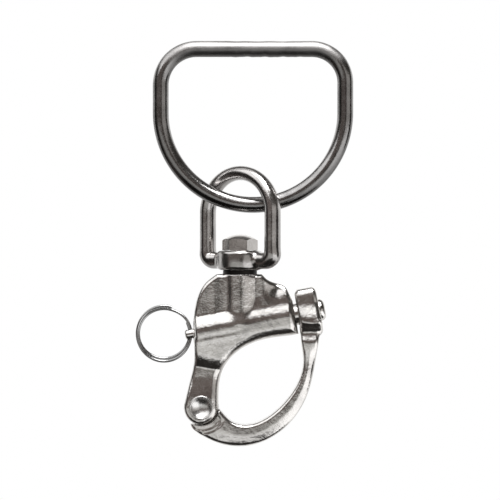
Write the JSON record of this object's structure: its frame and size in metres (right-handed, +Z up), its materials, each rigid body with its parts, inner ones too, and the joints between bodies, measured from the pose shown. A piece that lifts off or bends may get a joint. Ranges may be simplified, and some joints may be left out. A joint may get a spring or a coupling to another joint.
{
  "type": "snap shackle",
  "caption": "Swivel snap shackle with a hinged gate, spring plunger and pull ring, linked by its bail to a welded wire D-ring.",
  "frame": {"origin": "middle of the D-ring's straight bar, on the bar's axis", "axes": "+Z up, from the shackle to the D-ring's straight bar; +X along that bar, towards the gate's side; +Y away from the viewer, normal to the D-ring"},
  "size_m": [0.0677, 0.0196, 0.1259],
  "materials": {
    "ring_steel": "bright stainless wire, tumbled, ground at the weld",
    "cast_steel": "investment-cast stainless, mirror-tumbled",
    "bolt_steel": "turned stainless, polished",
    "washer_steel": "dark dull stainless",
    "turned_steel": "turned and polished stainless",
    "spring_wire": "drawn stainless spring wire",
    "split_ring_wire": "polished drawn stainless wire",
    "rivet_steel": "polished stainless, dished head"
  },
  "bodies": {
    "d_ring": {"d_ring": "ring_steel"},
    "bail": {"bail": "cast_steel"},
    "shackle": {"body": "cast_steel", "swivel_bolt": "bolt_steel", "swivel_washer": "washer_steel", "plunger_spring": "spring_wire", "gate_rivet": "rivet_steel"},
    "plunger": {"plunger": "turned_steel"},
    "pull_ring": {"pull_ring": "split_ring_wire"},
    "gate": {"gate": "cast_steel"}
  },
  "joints": [
    {"name": "bail_swing", "type": "hinge", "parent": "d_ring", "child": "bail", "pos_m": [-0.00364, 0, -0.04661], "axis": [0.991, 0, -0.134], "range_deg": [-110, 110]},
    {"name": "swivel", "type": "hinge", "parent": "bail", "child": "shackle", "pos_m": [-0.00404, 0, -0.0657], "axis": [0, 0, 1], "continuous": true},
    {"name": "plunger_slide", "type": "slide", "parent": "shackle", "child": "plunger", "axis": [-0.9829, 0, -0.184], "range_m": [0, 0.01], "stiffness_N_per_m": 1500, "springref_m": -0.004, "deforming": ["plunger_spring"]},
    {"name": "ring_swing", "type": "hinge", "parent": "plunger", "child": "pull_ring", "pos_m": [-0.0195, 0, -0.08871], "axis": [-0.184, 0, 0.9829], "range_deg": [-80, 80]},
    {"name": "gate_pivot", "type": "hinge", "parent": "shackle", "child": "gate", "pos_m": [-0.016, 0, -0.1113], "axis": [0, 1, 0], "range_deg": [0, 96]}
  ]
}
